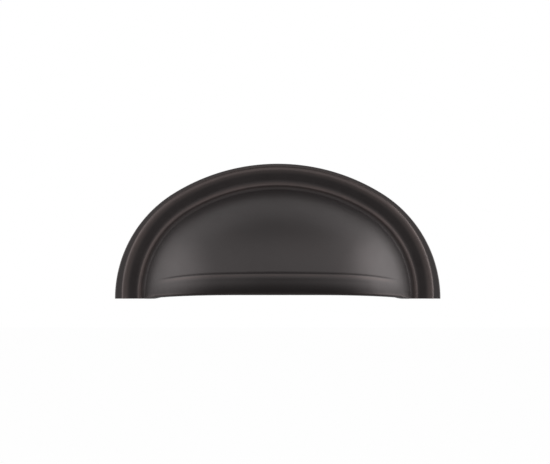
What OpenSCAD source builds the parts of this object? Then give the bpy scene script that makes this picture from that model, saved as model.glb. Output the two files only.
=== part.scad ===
// Cup pull: a one-piece cast drawer handle, half a dome with a moulded rim, open below for the fingers.
// X runs along the pull, Z is up and the front faces -Y. The flat back lies in the plane Y = 0, and the
// origin is the middle of the line between the two screw holes.

/* [Outline] */
// Length across the two feet
pull_length = 108.3; // [98:0.1:130]
// Height from the feet to the top of the arch
pull_height = 44.9; // [42:0.1:52]
// How far the crown of the arch rises above its two end arcs
crown_rise = 3.7; // [2:0.1:6]
// How far the bowl stands off the drawer front
projection = 25; // [22:0.1:30]

/* [Rim moulding] */
// Height of the outer edge off the drawer front
edge_height = 2.4; // [2:0.05:3]
// Rounding of the outer edge
edge_round = 0.5; // [0.2:0.05:1]
// Width of the flat band inside the outer edge
band_width = 2.1; // [1.4:0.05:3]
// Radius of the bead beside the flat band
bead_radius = 0.8; // [0.6:0.05:1]
// Height of the bead's top above the flat band
bead_rise = 0.4; // [0.2:0.05:0.6]
// Fall of the rim from the bead to the cove, in degrees
bead_fall = 24; // [16:0.5:28]
// Distance from the bead's middle to the bottom of the cove
cove_width = 3.8; // [3.4:0.05:4.2]
// Radius of the cove
cove_radius = 2.1; // [1.6:0.05:2.6]
// Rise of the cove to the inner ridge, in degrees
cove_climb = 30; // [20:0.5:36]
// Radius of the inner ridge
ridge_radius = 0.7; // [0.5:0.05:1]
// Fall of the inner ridge to the groove beside the bowl, in degrees
ridge_fall = 30; // [20:0.5:40]
// Radius of the groove beside the bowl
groove_radius = 0.6; // [0.4:0.05:1]

/* [Bowl] */
// How much less steep than a single arc the bowl is at the rim, in degrees
bowl_relief = 3.2; // [2:0.1:5]
// Radius of the bowl's shoulder, as a share of that single arc's radius
shoulder_share = 1.3; // [1.25:0.05:1.6]
// Wall thickness
wall = 2.2; // [1.8:0.1:3]

/* [Lip] */
// Height above the feet at which the crease line would meet the drawer front
crease_height = 4.9; // [4:0.1:6]
// Rise of the crease line toward the front, in degrees
crease_tilt = 9.3; // [7:0.1:11]
// Depth of the crease
crease_depth = 0.14; // [0.1:0.01:0.4]
// Width of the crease, and of the shoulder that swells out below it
crease_width = 0.7; // [0.5:0.05:1.2]
// How far the shoulder below the crease stands proud
shoulder_rise = 0.16; // [0.05:0.01:0.3]
// Distance from the middle at which the crease starts to fade
crease_full = 33; // [20:0.5:36]
// Distance from the middle at which the crease has gone
crease_end = 41; // [38:0.5:42]
// Rise of the lip's lower edge toward the front, in degrees
lip_tilt = 4; // [3:0.1:6]
// Radius with which the lip rolls under
lip_roll = 14; // [10:0.1:20]
// Height above the lip's edge at which it starts to roll under
lip_roll_height = 7; // [5:0.1:8]
// Rounding of the lip's lower edge
lip_round = 0.7; // [0.3:0.05:0.9]

/* [Feet] */
// Width of each foot, measured in from the outer edge
foot_width = 10.8; // [10:0.1:13]
// Run of the slope from each foot up to the lip's lower edge
foot_slope_run = 2.6; // [1.5:0.1:4]

/* [Screw holes] */
// Distance of each screw hole from the end of the pull
screw_inset = 16.05; // [15.5:0.05:18]
// Height of the screw holes above the feet
screw_height = 9; // [8:0.1:11]
// Tapping bore of each screw hole
screw_bore = 3.45; // [3:0.05:4]
// Diameter of the boss round each screw hole, at the back
boss_foot = 7; // [6.4:0.1:8]
// Diameter of the boss at its end
boss_end = 5.4; // [5:0.1:6]
// How deep the boss's end lies inside the bowl at its outer side
boss_cover = 0.4; // [0.2:0.05:1]
// Metal left beyond the end of each screw hole
hole_floor = 0.9; // [0.6:0.05:1.5]

/* [Hidden] */
$fn = 96;
// Length by which every cut runs past what it cuts
overrun = 1;
// Sections from one foot to the middle of the arch
sections = 24;
// Rows up the lip, up the bowl above the crease and up the hollow behind it
lip_rows = 6;
bowl_rows = 10;
hollow_rows = 9;
// Points round the lip's lower edge
edge_points = 3;
// Share by which the bowl's rows crowd together toward the rim
crowding = 1.8;

// Three-centred arch of the outline: two end arcs and a flatter crown arc
end_radius = pull_height - crown_rise;
end_centre = pull_length / 2 - end_radius;
crown_radius = (pow(end_centre, 2) + pow(pull_height, 2) - pow(end_radius, 2)) / (2 * crown_rise);
crown_centre = pull_height - crown_radius;
crown_offset = crown_radius - end_radius;
end_angle = acos(end_centre / crown_offset);
end_share = end_radius * end_angle / (end_radius * end_angle + crown_radius * (90 - end_angle));

// Points across the rim are [distance from the end arc's centre, height off the drawer front]
bead_middle = [end_radius - band_width - bead_radius, edge_height + bead_rise - bead_radius];
fall_start = bead_middle + bead_radius * [-sin(bead_fall), cos(bead_fall)];
fall_end = bead_middle.x - cove_width + cove_radius * sin(bead_fall);
cove_middle = [bead_middle.x - cove_width,
    fall_start.y - (fall_start.x - fall_end) * tan(bead_fall) + cove_radius * cos(bead_fall)];
ridge_middle = cove_middle - (cove_radius + ridge_radius) * [sin(cove_climb), cos(cove_climb)];
groove_middle = ridge_middle + (ridge_radius + groove_radius) * [-sin(ridge_fall), cos(ridge_fall)];

// Points along an arc between two bearings
function arc(middle, radius, from, to, steps) =
    [for (i = [0:steps]) let (a = from + (to - from) * i / steps) middle + radius * [sin(a), cos(a)]];

// Bowl section: a shoulder arc rises out of the groove and runs on into a large arc with its top over
// the end arc's centre
single_slope = 2 * atan((projection - groove_middle.y) / groove_middle.x);
bowl_slope = single_slope - bowl_relief;
shoulder_radius = shoulder_share * groove_middle.x / sin(single_slope);
bowl_start = groove_middle - groove_radius * [sin(bowl_slope), cos(bowl_slope)];
bowl_reach = bowl_start.x;
shoulder_middle = bowl_start - shoulder_radius * [sin(bowl_slope), cos(bowl_slope)];
shoulder_drop = projection - shoulder_middle.y;
bowl_radius = (pow(shoulder_middle.x, 2) + pow(shoulder_drop, 2) - pow(shoulder_radius, 2))
    / (2 * (shoulder_drop - shoulder_radius));
bowl_middle = projection - bowl_radius;
bowl_angle = atan(shoulder_middle.x / (shoulder_middle.y - bowl_middle));
hollow_reach = shoulder_middle.x + sqrt(pow(shoulder_radius - wall, 2) - pow(shoulder_middle.y, 2));
foot_inner = pull_length / 2 - foot_width;
screw_spacing = pull_length - 2 * screw_inset;

// Outer edge, flat band, bead, cove and ridge of the rim, from the back inward, down into the groove
rim_points = concat(
    [[end_radius, 0]],
    arc([end_radius - edge_round, edge_height - edge_round], edge_round, 90, 0, 3),
    arc(bead_middle, bead_radius, acos(1 - bead_rise / bead_radius), -bead_fall, 5),
    arc(cove_middle, cove_radius, 180 - bead_fall, 180 + cove_climb, 5),
    arc(ridge_middle, ridge_radius, cove_climb, -ridge_fall, 4),
    arc(groove_middle, groove_radius, 180 - ridge_fall, 180 + bowl_slope / 2, 2));

// Height of the bowl off the drawer front at a distance from the end arc's centre, set in by an inset
function bowl_height(reach, inset) =
    reach < shoulder_middle.x + (shoulder_radius - inset) * sin(bowl_angle)
        ? bowl_middle + sqrt(pow(bowl_radius - inset, 2) - pow(reach, 2))
        : shoulder_middle.y + sqrt(max(pow(shoulder_radius - inset, 2) - pow(reach - shoulder_middle.x, 2), 0));

// Distance of a point [across, up] from the centre of the end arc that it belongs to
function reach_of(spot) =
    atan2(abs(spot.x), spot.y - crown_centre) < 90 - end_angle
        ? max(norm([spot.x, spot.y - crown_centre]) - crown_offset, 0)
        : norm([abs(spot.x) - end_centre, spot.y]);

// Spot [across, up] at a share of the way from the foot to the crown, at a distance inside the outline
function on_arch(share, reach) =
    share < end_share
        ? let (a = end_angle * share / end_share) [end_centre + reach * cos(a), reach * sin(a)]
        : let (a = end_angle + (90 - end_angle) * (share - end_share) / (1 - end_share))
            [0, crown_centre] + (reach + crown_offset) * [cos(a), sin(a)];

// Rises smoothly from 0 to 1
function ease(share) = let (s = min(max(share, 0), 1)) s * s * (3 - 2 * s);

// Rows across the bowl, from the lip up to the rim, as [share of the way to the crease, height above
// that, share of the rest of the way to the rim]
crease_steps = [-2, -1.2, -0.6, 0, 0.6, 1.2, 2];
above_crease = crease_width;
function upper_rows(from, count) =
    [for (i = [1:count]) [1, from, 1 - pow(1 - i / count, crowding)]];
outer_rows = concat(
    [[0, lip_round, 0]],
    [for (i = [1:lip_rows]) [i / (lip_rows + 1), 0, 0]],
    [for (step = crease_steps) [1, step * crease_width / 2, 0]],
    upper_rows(above_crease, bowl_rows));
inner_rows = concat(
    [[0, 0, 0], [1 / 3, 0, 0], [2 / 3, 0, 0]],
    upper_rows(0, hollow_rows));

// Height above the feet of a row, where the bowl has the given height off the drawer front
function row_level(row, form, height, top) =
    let (tilt = lip_tilt + (crease_tilt - lip_tilt) * row[0])
        let (low = form * (crease_height * row[0] + row[1] + height * tan(tilt)))
            low + (top - low) * row[2];

// Finds the bowl's height off the drawer front on a row, which the row's own level depends on
function row_height(across, row, form, top, inset, height, tries) =
    tries == 0 ? height
    : row_height(across, row, form, top, inset,
        bowl_height(reach_of([across, row_level(row, form, height, top)]), inset), tries - 1);

// How far the lip has rolled under at a height above its edge
function roll(height) = lip_roll - sqrt(pow(lip_roll, 2) - pow(max(lip_roll_height - height, 0), 2));

// How fully the lip rolls under at a distance from the middle
function roll_share(across) = ease((foot_inner - abs(across)) / (foot_inner - end_centre));

// The crease is a fine valley with a shoulder below it that dies away down the lip
function crease_form(height) =
    shoulder_rise * ease(-2 * height / crease_width) * ease(2 + height / (2 * crease_width))
        - crease_depth * exp(-pow(2 * height / crease_width, 2));
function crease_share(across) = ease((crease_end - abs(across)) / (crease_end - crease_full));

// A point of the bowl: outside where the inset is zero, inside the wall where it isn't
function bowl_point(across, row, form, top, inset) =
    let (height = row_height(across, row, form, top, inset, projection, 6))
    let (level = row_level(row, form, height, top))
    let (rolled = roll(level - form * height * tan(lip_tilt)) * roll_share(across) * form)
    let (crease = inset > 0 ? 0
        : crease_form(level - crease_height - height * tan(crease_tilt)) * crease_share(across))
        [across, rolled - height - crease, level];

// One closed section through the casting: rim, outside of the bowl, lip and inside of the wall
function section(share) =
    let (rim_spot = on_arch(share, bowl_reach), hollow_spot = on_arch(share, hollow_reach))
    let (edge = rim_spot.x * foot_inner / (end_centre + bowl_reach))
    let (hollow_edge = edge * (foot_inner - wall) / foot_inner)
    let (form = min((foot_inner - edge) / foot_slope_run, 1))
    let (outer_last = len(outer_rows) - 1, inner_last = len(inner_rows) - 1)
    concat(
        [for (point = rim_points) let (spot = on_arch(share, point.x)) [spot.x, -point.y, spot.y]],
        [[rim_spot.x, -bowl_start.y, rim_spot.y]],
        [for (i = [outer_last - 1:-1:0])
            bowl_point(edge + (rim_spot.x - edge) * i / outer_last, outer_rows[i], form, rim_spot.y, 0)],
        [for (i = [1:edge_points])
            let (turn = 90 * i / edge_points)
            let (row = [0, lip_round * (1 - sin(turn)), 0])
            let (outside = bowl_point(edge, row, form, rim_spot.y, 0))
            let (inside = bowl_point(hollow_edge, row, form, hollow_spot.y, wall))
                outside + (inside - outside) * (1 - cos(turn)) * lip_round / wall],
        [for (i = [0:inner_last - 1])
            bowl_point(hollow_edge + (hollow_spot.x - hollow_edge) * i / inner_last,
                inner_rows[i], form, hollow_spot.y, wall)],
        [[hollow_spot.x, 0, hollow_spot.y]]);

// The casting without its bosses, as one closed skin from foot to foot
module shell() {
    half = [for (i = [0:sections]) section(i / sections)];
    other_half = [for (i = [sections - 1:-1:0]) [for (point = half[i]) [-point.x, point.y, point.z]]];
    rings = concat(half, other_half);
    count = len(half[0]);
    last = len(rings) - 1;
    polyhedron(
        points = [for (ring = rings) each ring],
        faces = concat(
            [[for (i = [count - 1:-1:0]) i]],
            [for (j = [0:last - 1], i = [0:count - 1])
                let (next = (i + 1) % count)
                    [j * count + i, (j + 1) * count + next, (j + 1) * count + i]],
            [for (j = [0:last - 1], i = [0:count - 1])
                let (next = (i + 1) % count)
                    [j * count + i, j * count + next, (j + 1) * count + next]],
            [[for (i = [0:count - 1]) last * count + i]]));
}

// The bosses end just inside the bowl, and the screw holes just inside the bosses
screw_reach = norm([screw_spacing / 2 - end_centre, screw_height]);
boss_height = bowl_height(screw_reach + boss_end / 2, 0) - boss_cover;
screw_depth = boss_height - hole_floor;

// Puts a part at each screw hole, with its Z axis square to the drawer front and pointing forward
module at_screws() {
    for (side = [-1, 1])
        translate([side * screw_spacing / 2, 0, screw_height]) rotate([90, 0, 0]) children();
}

// The whole casting
module cup_pull() {
    color([0.26, 0.24, 0.23])
        translate([0, 0, -screw_height])
            difference() {
                union() {
                    shell();
                    at_screws() cylinder(d1 = boss_foot, d2 = boss_end, h = boss_height);
                }
                at_screws() translate([0, 0, -overrun])
                    cylinder(d = screw_bore, h = screw_depth + overrun);
            }
}

cup_pull();
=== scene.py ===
"""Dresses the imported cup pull: a smooth casting in dark oil-rubbed bronze, and a plain pale studio."""
import math

import bmesh
import bpy
from mathutils import Matrix, Vector


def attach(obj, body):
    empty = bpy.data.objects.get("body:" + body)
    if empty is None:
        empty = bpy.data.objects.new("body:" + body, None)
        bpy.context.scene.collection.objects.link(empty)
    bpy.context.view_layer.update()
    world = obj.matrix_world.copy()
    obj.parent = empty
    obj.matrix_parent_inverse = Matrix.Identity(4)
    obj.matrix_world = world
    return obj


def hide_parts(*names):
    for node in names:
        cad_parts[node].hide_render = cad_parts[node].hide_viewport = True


bl_info = {
    "name": "Cup pull in dark bronze",
    "version": (1, 0, 0),
    "blender": (4, 5, 0),
    "location": "3D View > Sidebar > Cup pull",
    "description": "Builds the casting of a cup pull, its dark bronze finish and a pale studio",
    "category": "Object",
}

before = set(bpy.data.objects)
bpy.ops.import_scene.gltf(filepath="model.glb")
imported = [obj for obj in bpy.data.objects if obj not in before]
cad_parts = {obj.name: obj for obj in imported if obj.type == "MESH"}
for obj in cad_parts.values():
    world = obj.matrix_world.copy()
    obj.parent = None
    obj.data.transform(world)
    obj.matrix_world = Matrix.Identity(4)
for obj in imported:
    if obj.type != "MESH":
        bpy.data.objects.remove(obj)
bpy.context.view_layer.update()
NODE = "cup_pull"
SLOT = "dark_bronze"

# How finely the sections through the casting are drawn
BOWL_ROWS = 44
INSIDE_ROWS = 28
CROWDING = 1.8  # rows lie closer together toward the rim

# Where the dark patina with painted shade and the copper wear with painted highlight lie, in metres from the middle
# of the place: full as far as the first, gone at the second
# Dark patina with painted shade in the groove, the cove, the crease and low on the lip
GROOVE_SHADE_PATINA = (0.0004, 0.0012)
COVE_SHADE_PATINA = (0.0009, 0.0027)
CREASE_SHADE_PATINA = (0, 0.00035)
LIP_SHADE_PATINA = (0.0009, 0.0054)
# Copper wear with painted highlight lines below the crease and along the lip's lower edge
CREASE_RUB_SHEEN = (0, 0.0007)
LIP_RUB_SHEEN = (0, 0.0007)

# The lamps: place, power's name in the studio's settings, width and height
LAMPS = {
    "left_lamp": ((-0.68, -0.08, 0.12), "left_power", 0.75, 0.9),
    "right_lamp": ((0.68, -0.02, 0.14), "right_power", 0.75, 0.9),
    "top_lamp": ((0.0, 0.34, 0.60), "top_power", 0.9, 0.3),
}


def length(name, description, default):
    return bpy.props.FloatProperty(name=name, description=description, default=default, unit="LENGTH", precision=5)


def angle(name, description, degrees):
    return bpy.props.FloatProperty(
        name=name, description=description, default=math.radians(degrees), unit="ROTATION")


def share(name, description, default):
    return bpy.props.FloatProperty(
        name=name, description=description, default=default, min=0, max=1, subtype="FACTOR")


def number(name, description, default):
    return bpy.props.FloatProperty(name=name, description=description, default=default)


def colour(name, description, default):
    return bpy.props.FloatVectorProperty(
        name=name, description=description, default=default, size=3, min=0, max=1, subtype="COLOR")


class CastingSizes(bpy.types.PropertyGroup):
    """Sizes of the casting: the construction model's, with a finer rim and a rounder shoulder"""
    pull_length: length("Length", "Length across the two feet", 0.1083)
    pull_height: length("Height", "Height from the feet to the top of the arch", 0.0449)
    crown_rise: length("Crown rise", "How far the crown rises above the end arcs", 0.0037)
    projection: length("Projection", "How far the bowl stands off the drawer front", 0.025)
    edge_height: length("Edge height", "Height of the outer edge", 0.0023)
    edge_round: length("Edge rounding", "Rounding of the outer edge", 0.0005)
    band_width: length("Band width", "Width of the flat band inside the edge", 0.0019)
    bead_radius: length("Bead radius", "Radius of the bead beside the band", 0.0014)
    bead_rise: length("Bead rise", "Height of the bead's top above the band", 0.0005)
    bead_fall: angle("Bead fall", "Fall of the rim from the bead to the cove", 9)
    cove_width: length("Cove width", "Distance from the bead's middle to the cove's bottom", 0.0036)
    cove_radius: length("Cove radius", "Radius of the cove", 0.0019)
    cove_climb: angle("Cove climb", "Rise of the cove to the inner ridge", 30)
    ridge_radius: length("Ridge radius", "Radius of the inner ridge", 0.001)
    ridge_fall: angle("Ridge fall", "Fall of the ridge to the groove beside the bowl", 24)
    groove_radius: length("Groove radius", "Radius of the groove beside the bowl", 0.0012)
    rim_taper: length("Rim taper", "How much narrower the rim is at the crown than at the feet", 0.00135)
    bowl_relief: angle("Bowl relief", "How much less steep than a single arc the bowl is at the rim", 5)
    shoulder_share: number("Shoulder share", "Shoulder radius as a share of that single arc's radius", 1.6)
    wall: length("Wall", "Wall thickness", 0.0022)
    crease_height: length("Crease height", "Height at which the crease would meet the drawer front", 0.0049)
    crease_tilt: angle("Crease tilt", "Rise of the crease toward the front", 9.3)
    crease_depth: length("Crease depth", "Depth of the crease", 0.00014)
    crease_width: length("Crease width", "Width of the crease", 0.0007)
    shoulder_rise: length("Swell", "How far the lip swells out below the crease", 0.00016)
    crease_full: length("Crease full", "Distance from the middle at which the crease starts to fade", 0.033)
    crease_end: length("Crease end", "Distance from the middle at which the crease has gone", 0.041)
    lip_tilt: angle("Lip tilt", "Rise of the lip's lower edge toward the front", 4)
    lip_roll: length("Lip roll", "Radius with which the lip rolls under", 0.014)
    lip_roll_height: length("Roll height", "Height above the edge at which the roll starts", 0.007)
    lip_round: length("Lip rounding", "Rounding of the lip's lower edge", 0.0007)
    foot_width: length("Foot width", "Width of each foot", 0.0108)
    foot_slope_run: length("Foot slope", "Run of the slope from each foot up to the lip", 0.0026)
    screw_inset: length("Screw inset", "Distance of each screw hole from the end of the pull", 0.01605)
    screw_height: length("Screw height", "Height of the screw holes above the feet", 0.009)
    screw_bore: length("Screw bore", "Tapping bore of each screw hole", 0.00345)
    boss_foot: length("Boss foot", "Diameter of the boss round each hole, at the back", 0.007)
    boss_end: length("Boss end", "Diameter of the boss at its end", 0.0054)
    boss_height: length("Boss height", "How far the bosses reach forward", 0.00653)
    screw_depth: length("Screw depth", "Depth of the screw holes", 0.00563)
    sections: bpy.props.IntProperty(name="Sections", description="Sections from a foot to the middle", default=110)


class FinishLook(bpy.types.PropertyGroup):
    """Colours and sheen of the dark bronze finish"""
    bronze: colour("Bronze", "Dark bronze of the open surfaces", (0.055, 0.049, 0.049))
    # Used for dark patina and for painted shade in the groove, cove, crease and low on the lip
    patina: colour("Patina", "Near-black bronze of the recesses", (0.026, 0.021, 0.021))
    # Used for copper wear and for painted highlight lines on the bead, the ridge, below the crease and along the
    # lip's edge
    copper: colour("Copper", "Warm metal that shows where the finish is rubbed", (0.122, 0.087, 0.080))
    roughness: share("Roughness", "Roughness of the open surfaces", 0.48)
    worn_roughness: share("Worn roughness", "Roughness where the finish is rubbed", 0.38)
    metal: share("Metal", "How far the surface shines as bare metal does", 0.7)
    grain: length("Grain", "Depth of the fine casting grain", 0.00001)


class StudioLook(bpy.types.PropertyGroup):
    """Lamps, backdrop and camera"""
    camera_distance: length("Camera distance", "Distance of the camera from the pull's back", 0.9)
    camera_lens: number("Camera lens", "Focal length in millimetres", 176.7)
    camera_across: length("Camera across", "Camera's place along the pull", -0.0009)
    camera_up: length("Camera up", "Camera's height above the screw holes", 0.01317)
    floor_drop: length("Floor drop", "How far the floor lies below the screw holes", 0.16)
    left_power: number("Left lamp", "Power of the left lamp in watts", 3.5)
    right_power: number("Right lamp", "Power of the right lamp in watts", 5.9)
    top_power: number("Top lamp", "Power of the lamp above and behind in watts", 0.9)
    fill: number("Fill", "Strength of the even light from all round", 0.78)


def ease(value):
    """Rises smoothly from 0 to 1."""
    value = min(max(value, 0), 1)
    return value * value * (3 - 2 * value)


def fade(distance, full, end):
    """1 as far as the full distance, falling smoothly to 0 at the end."""
    return ease((end - abs(distance)) / (end - full))


def beside(point, distance, turn):
    """The point of a section at a distance and bearing from another."""
    return point[0] + distance * math.sin(turn), point[1] + distance * math.cos(turn)


def arc(middle, radius, start, end, steps):
    """Points along an arc between two bearings."""
    turns = [start + (end - start) * i / steps for i in range(steps + 1)]
    return [beside(middle, radius, a) for a in turns]


def line(start, end, steps):
    """Points strictly between two points."""
    return [tuple(a + (b - a) * i / steps for a, b in zip(start, end)) for i in range(1, steps)]


class Form:
    """The casting's surfaces, worked out from its sizes."""

    def __init__(self, sizes):
        self.s = s = sizes
        self.end_radius = s.pull_height - s.crown_rise
        self.end_centre = s.pull_length / 2 - self.end_radius
        crown_radius = (self.end_centre ** 2 + s.pull_height ** 2 - self.end_radius ** 2) / (2 * s.crown_rise)
        self.crown_centre = s.pull_height - crown_radius
        self.crown_offset = crown_radius - self.end_radius
        self.end_angle = math.acos(self.end_centre / self.crown_offset)
        end_run = self.end_radius * self.end_angle
        self.end_share = end_run / (end_run + crown_radius * (math.pi / 2 - self.end_angle))
        self.bead = (self.end_radius - s.band_width - s.bead_radius, s.edge_height + s.bead_rise - s.bead_radius)
        fall_start = beside(self.bead, s.bead_radius, -s.bead_fall)
        cove_x = self.bead[0] - s.cove_width
        fall_run = fall_start[0] - cove_x - s.cove_radius * math.sin(s.bead_fall)
        self.cove = (cove_x, fall_start[1] - fall_run * math.tan(s.bead_fall) + s.cove_radius * math.cos(s.bead_fall))
        self.ridge = beside(self.cove, s.cove_radius + s.ridge_radius, math.pi + s.cove_climb)
        self.groove = beside(self.ridge, s.ridge_radius + s.groove_radius, -s.ridge_fall)
        single_slope = 2 * math.atan2(s.projection - self.groove[1], self.groove[0])
        self.bowl_slope = single_slope - s.bowl_relief
        self.shoulder_radius = s.shoulder_share * self.groove[0] / math.sin(single_slope)
        self.bowl_reach = beside(self.groove, s.groove_radius, math.pi + self.bowl_slope)[0]
        self.shoulder = beside(self.groove, s.groove_radius + self.shoulder_radius, math.pi + self.bowl_slope)
        drop = s.projection - self.shoulder[1]
        self.bowl_radius = ((self.shoulder[0] ** 2 + drop ** 2 - self.shoulder_radius ** 2)
                            / (2 * (drop - self.shoulder_radius)))
        self.bowl_middle = s.projection - self.bowl_radius
        self.bowl_angle = math.atan(self.shoulder[0] / (self.shoulder[1] - self.bowl_middle))
        self.hollow_reach = self.shoulder[0] + math.sqrt(
            (self.shoulder_radius - s.wall) ** 2 - self.shoulder[1] ** 2)
        self.foot_inner = s.pull_length / 2 - s.foot_width
        self.screw_spacing = s.pull_length - 2 * s.screw_inset

    def rim(self):
        """Points from the back of the outer edge over the mouldings to the foot of the bowl."""
        s = self.s
        edge = (self.end_radius - s.edge_round, s.edge_height - s.edge_round)
        corner = (self.end_radius, 0)
        rounding = arc(edge, s.edge_round, math.pi / 2, 0, 6)
        bead = arc(self.bead, s.bead_radius, math.acos(1 - s.bead_rise / s.bead_radius), -s.bead_fall, 12)
        cove = arc(self.cove, s.cove_radius, math.pi - s.bead_fall, math.pi + s.cove_climb, 14)
        ridge = arc(self.ridge, s.ridge_radius, s.cove_climb, -s.ridge_fall, 10)
        groove = arc(self.groove, s.groove_radius, math.pi - s.ridge_fall, math.pi + self.bowl_slope, 12)
        return ([corner] + line(corner, rounding[0], 3) + rounding + line(rounding[-1], bead[0], 5) + bead
                + line(bead[-1], cove[0], 8) + cove + ridge[1:] + groove[1:])

    def bowl_height(self, reach, inset):
        """Height of the bowl off the drawer front at a distance from the end arc's centre."""
        if reach < self.shoulder[0] + (self.shoulder_radius - inset) * math.sin(self.bowl_angle):
            return self.bowl_middle + math.sqrt((self.bowl_radius - inset) ** 2 - reach ** 2)
        return self.shoulder[1] + math.sqrt(
            max((self.shoulder_radius - inset) ** 2 - (reach - self.shoulder[0]) ** 2, 0))

    def reach_of(self, x, z):
        """Distance of a point of the bowl from the centre of its arc, measured as beside a foot."""
        up = z - self.crown_centre
        if math.atan2(abs(x), up) < math.pi / 2 - self.end_angle:
            far = math.hypot(x, up)
            reach, rise = max(far - self.crown_offset, 0), up / far
        else:
            reach = math.hypot(abs(x) - self.end_centre, z)
            rise = max(z, 0) / max(reach, 1e-6)
        return reach / (1 + self.s.rim_taper * rise / self.bowl_reach)

    def on_arch(self, part, reach):
        """Point a share of the way from the foot to the crown, at a distance from the arc's centre."""
        inset = self.end_radius - reach
        widening = self.s.rim_taper * min(reach / self.bowl_reach, inset / self.s.band_width, 1)
        if part < self.end_share:
            turn = self.end_angle * part / self.end_share
            reach += widening * math.sin(turn)
            return self.end_centre + reach * math.cos(turn), reach * math.sin(turn)
        rest = (part - self.end_share) / (1 - self.end_share)
        turn = self.end_angle + (math.pi / 2 - self.end_angle) * rest
        far = reach + widening * math.sin(turn) + self.crown_offset
        return far * math.cos(turn), self.crown_centre + far * math.sin(turn)

    def level(self, row, form, height, top):
        """Height above the feet of a row that crosses the bowl."""
        s = self.s
        tilt = s.lip_tilt + (s.crease_tilt - s.lip_tilt) * row[0]
        low = form * (s.crease_height * row[0] + row[1] + height * math.tan(tilt))
        return low + (top - low) * row[2]

    def crease_shape(self, height):
        """The crease is a fine valley with a swell below it that dies away down the lip."""
        s = self.s
        swell = s.shoulder_rise * ease(-2 * height / s.crease_width) * ease(2 + height / (2 * s.crease_width))
        return swell - s.crease_depth * math.exp(-(2 * height / s.crease_width) ** 2)

    def bowl_point(self, across, row, form, top, inset):
        """A point of the bowl, outside where the inset is zero and inside the wall where it isn't."""
        s = self.s
        height = s.projection
        for _ in range(7):
            height = self.bowl_height(self.reach_of(across, self.level(row, form, height, top)), inset)
        level = self.level(row, form, height, top)
        above = level - form * height * math.tan(s.lip_tilt)
        roll = s.lip_roll - math.sqrt(s.lip_roll ** 2 - max(s.lip_roll_height - above, 0) ** 2)
        roll *= fade(across, self.end_centre, self.foot_inner) * form
        if not inset:
            line_above = level - s.crease_height - height * math.tan(s.crease_tilt)
            roll -= self.crease_shape(line_above) * fade(across, s.crease_full, s.crease_end)
        return across, roll - height, level

    def section(self, part, rim, outer, edge_turns, inner):
        """One closed section through the casting: rim, outside, lip, inside and back."""
        s = self.s
        rim_x, rim_z = self.on_arch(part, self.bowl_reach)
        hollow_x, hollow_z = self.on_arch(part, self.hollow_reach)
        edge = rim_x * self.foot_inner / (self.end_centre + self.bowl_reach)
        hollow_edge = edge * (self.foot_inner - s.wall) / self.foot_inner
        form = min(max((self.foot_inner - edge) / s.foot_slope_run, 0), 1)
        points = []
        for reach, height in rim:
            x, z = self.on_arch(part, reach)
            points.append((x, -height, z))
        last = len(outer) - 1
        for i in range(last - 1, -1, -1):
            points.append(self.bowl_point(edge + (rim_x - edge) * i / last, outer[i], form, rim_z, 0))
        for turn in edge_turns:
            row = (0, s.lip_round * (1 - math.sin(turn)), 0)
            outside = Vector(self.bowl_point(edge, row, form, rim_z, 0))
            inside = Vector(self.bowl_point(hollow_edge, row, form, hollow_z, s.wall))
            points.append(tuple(outside.lerp(inside, (1 - math.cos(turn)) * s.lip_round / s.wall)))
        last = len(inner) - 1
        for i in range(last):
            across = hollow_edge + (hollow_x - hollow_edge) * i / last
            points.append(self.bowl_point(across, inner[i], form, hollow_z, s.wall))
        back, front = (hollow_x, 0, hollow_z), points[0]
        return points + [back] + line(back, front, 6) + [front]


def casting_rings(form, sections):
    """All sections from the right foot over the crown to the left foot."""
    s = form.s
    climb = [1 - (1 - i / BOWL_ROWS) ** CROWDING for i in range(1, BOWL_ROWS + 1)]
    crease = [step / 5 for step in range(-11, 11)]
    outer = ([(0, s.lip_round, 0)] + [(i / 15, 0, 0) for i in range(2, 13)]
             + [(1, step * s.crease_width / 2, 0) for step in crease]
             + [(1, s.crease_width * 1.1, part) for part in climb])
    inner = ([(i / 8, 0, 0) for i in range(9)]
             + [(1, 0, 1 - (1 - i / INSIDE_ROWS) ** CROWDING) for i in range(1, INSIDE_ROWS + 1)])
    turns = [math.pi / 2 * i / 7 for i in range(1, 8)]
    rim = form.rim()
    half = [form.section(i / sections, rim, outer, turns, inner) for i in range(sections + 1)]
    other = [[(-x, y, z) for x, y, z in ring] for ring in reversed(half[:-1])]
    return half + other


def lay_on_rings(rings, drop):
    """Lays a grid on the sections, welds the seam and closes the two feet."""
    bm = bmesh.new()
    rows, columns = len(rings), len(rings[0])
    bmesh.ops.create_grid(bm, x_segments=rows - 1, y_segments=columns - 1, size=0.5)
    for v in bm.verts:
        ring = rings[round((v.co.x + 0.5) * (rows - 1))]
        x, y, z = ring[round((v.co.y + 0.5) * (columns - 1))]
        v.co = (x, y, z - drop)
    bmesh.ops.remove_doubles(bm, verts=bm.verts, dist=1e-6)
    bmesh.ops.holes_fill(bm, edges=[e for e in bm.edges if e.is_boundary], sides=0)
    bmesh.ops.recalc_face_normals(bm, faces=bm.faces)
    return bm


def screw_bars(form, near, far, start, end, round_off):
    """A round bar at each screw hole, square to the drawer front, rounded at its far end."""
    bm = bmesh.new()
    for side in (-1, 1):
        made = bmesh.ops.create_cone(bm, cap_ends=True, segments=96, radius1=near / 2, radius2=far / 2,
                                     depth=end - start)["verts"]
        bmesh.ops.rotate(bm, verts=made, cent=(0, 0, 0), matrix=Matrix.Rotation(math.pi / 2, 3, "X"))
        bmesh.ops.translate(bm, verts=made, vec=(side * form.screw_spacing / 2, -(start + end) / 2, 0))
    if round_off:
        last = [e for e in bm.edges if all(abs(v.co.y + end) < 1e-7 for v in e.verts)]
        bmesh.ops.bevel(bm, geom=last, offset=round_off, offset_type="OFFSET", segments=4, profile=0.5,
                        affect="EDGES", material=-1)
    bmesh.ops.recalc_face_normals(bm, faces=bm.faces)
    return bm


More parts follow.
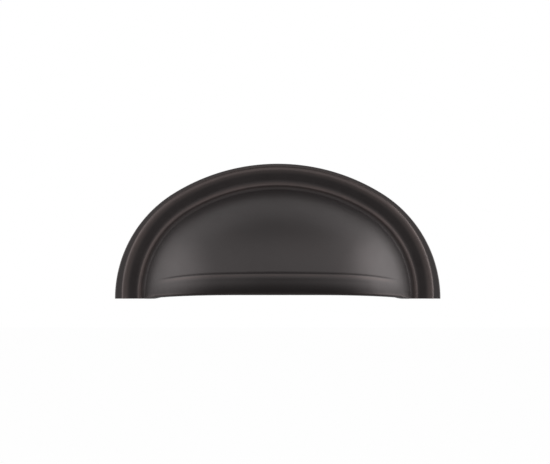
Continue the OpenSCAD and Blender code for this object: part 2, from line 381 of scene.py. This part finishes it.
def new_object(name, bm):
    mesh = bpy.data.meshes.new(name)
    bm.to_mesh(mesh)
    bm.free()
    obj = bpy.data.objects.new(name, mesh)
    bpy.context.scene.collection.objects.link(obj)
    return obj


def combine(obj, tool, operation):
    """Joins or cuts a piece with a tool, and removes the tool."""
    step = obj.modifiers.new(operation, "BOOLEAN")
    step.operation, step.solver, step.object = operation, "EXACT", tool
    shown = obj.evaluated_get(bpy.context.evaluated_depsgraph_get())
    mesh = bpy.data.meshes.new_from_object(shown)
    obj.modifiers.clear()
    obj.data = mesh
    mesh.name = obj.name
    bpy.data.objects.remove(tool)


def rim_marks(form, reach, height):
    """How far the rim is painted copper and dark at a point: copper wear with painted highlight on the bead and
    ridge, dark patina with painted shade in the groove and cove.
    """
    s = form.s
    wear_and_sheen = 0
    # Copper wear and painted highlight along the tops of the bead and ridge
    for middle, radius in ((form.bead, s.bead_radius), (form.ridge, s.ridge_radius)):
        off = math.hypot(reach - middle[0], height - middle[1] - radius)
        wear_and_sheen = max(wear_and_sheen, fade(off, radius * 0.25, radius * 1.25))
    # Dark patina and painted shade in the groove beside the bowl and in the cove
    shade_patina = max(0.75 * fade(reach - form.groove[0] + 0.0003, *GROOVE_SHADE_PATINA),
               0.85 * fade(reach - form.cove[0] - 0.0007, *COVE_SHADE_PATINA))
    return wear_and_sheen, shade_patina


def lip_marks(form, x, height, z):
    """The same for the bowl and lip: copper wear with painted highlight in a line below the crease and along the
    lower edge, dark patina with painted shade in the crease and low on the lip.
    """
    s = form.s
    above = z - s.crease_height - height * math.tan(s.crease_tilt)
    low = z - height * math.tan(s.lip_tilt)
    here = fade(x, s.crease_full, s.crease_end)
    # Copper wear and painted highlight lines below the crease and just above the lip's lower edge
    wear_and_sheen = max(0.7 * fade(above + 0.0009, *CREASE_RUB_SHEEN) * here, 0.5 * fade(low - 0.0006, *LIP_RUB_SHEEN))
    # Dark patina and painted shade in the crease and on the lower lip, fading out at the feet
    shade_patina = max(fade(above, *CREASE_SHADE_PATINA) * here,
               0.7 * fade(low, *LIP_SHADE_PATINA) * fade(x, form.foot_inner - 0.004, form.foot_inner))
    return wear_and_sheen, shade_patina


def mark_wear_and_painted_light(obj, form):
    """Stores where copper wear with painted highlight and where dark patina with painted shade go."""
    s, mesh = form.s, obj.data
    rub = mesh.attributes.new("rub", "FLOAT", "POINT")
    recess = mesh.attributes.new("recess", "FLOAT", "POINT")
    for i, v in enumerate(mesh.vertices):
        x, y, z = v.co
        z += s.screw_height
        reach, height = form.reach_of(x, z), -y
        wear_and_sheen = shade_patina = 0
        if reach > form.bowl_reach - 0.0002 and height < s.edge_height + 0.001:
            wear_and_sheen, shade_patina = rim_marks(form, reach, height)
        elif height > 0.003 and v.normal.y < 0.2:
            wear_and_sheen, shade_patina = lip_marks(form, x, height, z)
        rub.data[i].value = wear_and_sheen
        recess.data[i].value = shade_patina


def shade(obj, degrees):
    """Smooth shading, but flat feet, and sharp edges where faces meet at more than the given angle."""
    bm = bmesh.new()
    bm.from_mesh(obj.data)
    for f in bm.faces:
        f.smooth = len(f.verts) < 12
    for e in bm.edges:
        e.smooth = len(e.link_faces) == 2 and e.calc_face_angle(0) < math.radians(degrees)
    bm.to_mesh(obj.data)
    bm.free()


class Value:
    """A socket that takes part in arithmetic: an expression on values adds its Math nodes."""

    def __init__(self, tree, socket):
        self.tree, self.socket = tree, socket

    def math(self, operation, *values):
        made = self.tree.nodes.new("ShaderNodeMath")
        made.operation = operation
        for socket, value in zip(made.inputs, values):
            put(self.tree, socket, value)
        return Value(self.tree, made.outputs[0])

    def __add__(self, other):
        return self.math("ADD", self, other)

    def __sub__(self, other):
        return self.math("SUBTRACT", self, other)

    def __rsub__(self, other):
        return self.math("SUBTRACT", other, self)

    def __mul__(self, other):
        return self.math("MULTIPLY", self, other)

    def __truediv__(self, other):
        return self.math("DIVIDE", self, other)

    def __rtruediv__(self, other):
        return self.math("DIVIDE", other, self)

    __radd__ = __add__
    __rmul__ = __mul__

    def clamped(self):
        return self.math("MINIMUM", self.math("MAXIMUM", self, 0.0), 1.0)

    def ramp(self, start, end):
        """0 where the value is at the start or beyond it, 1 at the end."""
        return ((self - start) / (end - start)).clamped()


def put(tree, socket, value):
    """Links a value to a socket, or sets a constant on it."""
    if isinstance(value, Value):
        tree.links.new(value.socket, socket)
    else:
        socket.default_value = value


class Recipe:
    """A material or world whose nodes are being written."""

    def __init__(self, owner):
        owner.use_nodes = True
        self.tree = owner.node_tree
        self.tree.nodes.clear()

    def node(self, kind, output=0, settings=None, **sockets):
        made = self.tree.nodes.new(kind)
        for name, value in (settings or {}).items():
            setattr(made, name, value)
        for name, value in sockets.items():
            put(self.tree, made.inputs[name.replace("_", " ")], value)
        return Value(self.tree, made.outputs[output])

    def mix(self, factor, first, second):
        made = self.tree.nodes.new("ShaderNodeMix")
        made.data_type = "RGBA"
        for index, value in ((0, factor), (6, first), (7, second)):
            put(self.tree, made.inputs[index], value)
        return Value(self.tree, made.outputs[2])

    def mix_shader(self, factor, first, second):
        made = self.tree.nodes.new("ShaderNodeMixShader")
        for socket, value in zip(made.inputs, (factor, first, second)):
            put(self.tree, socket, value)
        return Value(self.tree, made.outputs[0])

    def noise(self, place, scale, detail=3.0, roughness=0.5):
        return self.node("ShaderNodeTexNoise", 0, Vector=place, Scale=scale, Detail=detail, Roughness=roughness)


def bronze_finish(look):
    """Dark oil-rubbed bronze: near-black patina with painted shade in the recesses and low on the lip, copper wear
    with painted highlight on the raised lines.
    """
    material = bpy.data.materials.new(SLOT)
    r = Recipe(material)
    place = r.node("ShaderNodeTexCoord", 3)
    rub = r.node("ShaderNodeAttribute", 2, {"attribute_name": "rub"})
    recess = r.node("ShaderNodeAttribute", 2, {"attribute_name": "recess"})
    clouds = r.noise(place, 55.0, 4.0, 0.55)
    patches = r.noise(place, 260.0, 5.0, 0.6)
    grain = r.noise(place, 2600.0, 3.0, 0.6)
    # Copper wear and painted highlight where the stored mask says, varied a little at random
    wear_and_sheen = (rub * (0.15 + patches * 0.8) + (clouds - 0.5) * 0.2).clamped()
    # Dark patina and painted shade where the stored mask says, with a random variation of tone
    black = (recess * (0.75 + patches * 0.4) + (0.5 - clouds) * 0.5).clamped()
    base = r.mix(black, (*look.bronze, 1), (*look.patina, 1))
    base = r.mix(wear_and_sheen * 0.6, base, (*look.copper, 1))
    polish = wear_and_sheen * (look.roughness - look.worn_roughness)
    roughness = look.roughness + (patches - 0.5) * 0.1 - polish + black * 0.1
    bump = r.node("ShaderNodeBump", 0, None, Strength=1.0, Distance=look.grain, Height=grain + patches * 0.6)
    shader = r.node("ShaderNodeBsdfPrincipled", 0, None, Base_Color=base, Metallic=look.metal,
                    Roughness=roughness, Normal=bump)
    out = r.tree.nodes.new("ShaderNodeOutputMaterial")
    r.tree.links.new(shader.socket, out.inputs["Surface"])
    return material


def floor_finish():
    """Pale floor that keeps the shadow, reads as white and is clear from below."""
    material = bpy.data.materials.new("pale_floor")
    r = Recipe(material)
    matt = r.node("ShaderNodeBsdfDiffuse", 0, None, Color=(0.86, 0.86, 0.86, 1))
    white = r.node("ShaderNodeEmission", 0, None, Color=(1, 1, 1, 1), Strength=1.0)
    camera = r.node("ShaderNodeLightPath", 0)
    seen = r.mix_shader(camera * 0.97, matt, white)
    below = r.node("ShaderNodeNewGeometry", "Backfacing")
    surface = r.mix_shader(below, seen, r.node("ShaderNodeBsdfTransparent", 0))
    out = r.tree.nodes.new("ShaderNodeOutputMaterial")
    r.tree.links.new(surface.socket, out.inputs["Surface"])
    return material


def studio_air(look):
    """White all round for the camera and in reflections, dimmer overhead and below, and an even fill."""
    world = bpy.data.worlds.new("studio")
    r = Recipe(world)
    way = r.node("ShaderNodeTexCoord", 0)
    split = r.tree.nodes.new("ShaderNodeSeparateXYZ")
    put(r.tree, split.inputs[0], way)
    across, along, up = (Value(r.tree, o) for o in split.outputs)
    path = r.tree.nodes.new("ShaderNodeLightPath")
    camera, glossy, clear = (Value(r.tree, path.outputs[n]) for n in (
        "Is Camera Ray", "Is Glossy Ray", "Is Transmission Ray"))
    ceiling = up.ramp(0.78, 0.92) * along.ramp(0.3, 0.05)
    ground = up.ramp(0.02, -0.43)
    front = along.ramp(0.2, -0.6)
    mirrored = 1.0 - ceiling - ground * front - ground * 0.4 * (1.0 - front)
    scattered = (1.0 - ground * 0.7) * look.fill
    shown = (camera + clear).clamped()
    strength = shown + (1.0 - shown) * (glossy * mirrored + (1.0 - glossy) * scattered)
    light = r.node("ShaderNodeBackground", 0, None, Color=(1, 1, 1, 1), Strength=strength)
    out = r.tree.nodes.new("ShaderNodeOutputWorld")
    r.tree.links.new(light.socket, out.inputs["Surface"])
    return world


class CastingOperator(bpy.types.Operator):
    """Build the casting: rim, bowl, lip and screw bosses"""
    bl_idname = "cup_pull.casting"
    bl_label = "Casting"

    def execute(self, context):
        sizes = context.scene.cup_pull_sizes
        form = Form(sizes)
        obj = new_object("casting", lay_on_rings(casting_rings(form, sizes.sections), sizes.screw_height))
        combine(obj, new_object("bosses", screw_bars(
            form, sizes.boss_foot, sizes.boss_end, 0, sizes.boss_height, 0.0004)), "UNION")
        combine(obj, new_object("bores", screw_bars(
            form, sizes.screw_bore, sizes.screw_bore, -0.001, sizes.screw_depth, 0)), "DIFFERENCE")
        mark_wear_and_painted_light(obj, form)
        shade(obj, 32)
        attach(obj, "root")
        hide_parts(NODE)
        return {"FINISHED"}


class FinishOperator(bpy.types.Operator):
    """Give the casting its dark bronze finish"""
    bl_idname = "cup_pull.finish"
    bl_label = "Dark bronze"

    def execute(self, context):
        material = bronze_finish(context.scene.cup_pull_finish)
        for obj in (bpy.data.objects["casting"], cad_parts[NODE]):
            obj.data.materials.clear()
            obj.data.materials.append(material)
        return {"FINISHED"}


class StudioOperator(bpy.types.Operator):
    """Add the floor, the lamps, the surroundings and the camera"""
    bl_idname = "cup_pull.studio"
    bl_label = "Studio"

    def execute(self, context):
        look = context.scene.cup_pull_studio
        bm = bmesh.new()
        bmesh.ops.create_grid(bm, x_segments=1, y_segments=1, size=4)
        bmesh.ops.translate(bm, verts=bm.verts, vec=(0, 0, -look.floor_drop))
        floor = new_object("floor", bm)
        floor.data.materials.append(floor_finish())
        floor.visible_glossy = floor.visible_diffuse = False
        centre = Vector((0, -0.01, 0.012))
        for name, (place, power, wide, high) in LAMPS.items():
            lamp = bpy.data.lights.new(name, "AREA")
            lamp.shape, lamp.size, lamp.size_y = "RECTANGLE", wide, high
            lamp.energy = getattr(look, power)
            obj = bpy.data.objects.new(name, lamp)
            obj.location = place
            obj.rotation_euler = (centre - Vector(place)).to_track_quat("-Z", "Y").to_euler()
            context.scene.collection.objects.link(obj)
        context.scene.world = studio_air(look)
        camera = bpy.data.cameras.new("camera")
        camera.lens = look.camera_lens
        obj = bpy.data.objects.new("camera", camera)
        obj.location = (look.camera_across, -look.camera_distance, look.camera_up)
        obj.rotation_euler = (math.pi / 2, 0, 0)
        context.scene.collection.objects.link(obj)
        context.scene.camera = obj
        context.scene.view_settings.view_transform = "Standard"
        return {"FINISHED"}


class CupPullPanel(bpy.types.Panel):
    """Steps that build the cup pull"""
    bl_idname = "VIEW3D_PT_cup_pull"
    bl_label = "Cup pull"
    bl_space_type = "VIEW_3D"
    bl_region_type = "UI"
    bl_category = "Cup pull"

    def draw(self, context):
        for step in STEPS:
            self.layout.operator(step.bl_idname)


STEPS = (CastingOperator, FinishOperator, StudioOperator)
GROUPS = {"cup_pull_sizes": CastingSizes, "cup_pull_finish": FinishLook, "cup_pull_studio": StudioLook}


def register():
    for cls in (*GROUPS.values(), *STEPS, CupPullPanel):
        bpy.utils.register_class(cls)
    for name, group in GROUPS.items():
        setattr(bpy.types.Scene, name, bpy.props.PointerProperty(type=group))


def unregister():
    for name in GROUPS:
        delattr(bpy.types.Scene, name)
    for cls in (CupPullPanel, *STEPS, *GROUPS.values()):
        bpy.utils.unregister_class(cls)


def main():
    register()
    bpy.ops.cup_pull.casting()
    bpy.ops.cup_pull.finish()
    bpy.ops.cup_pull.studio()


if __name__ == "__main__":
    main()
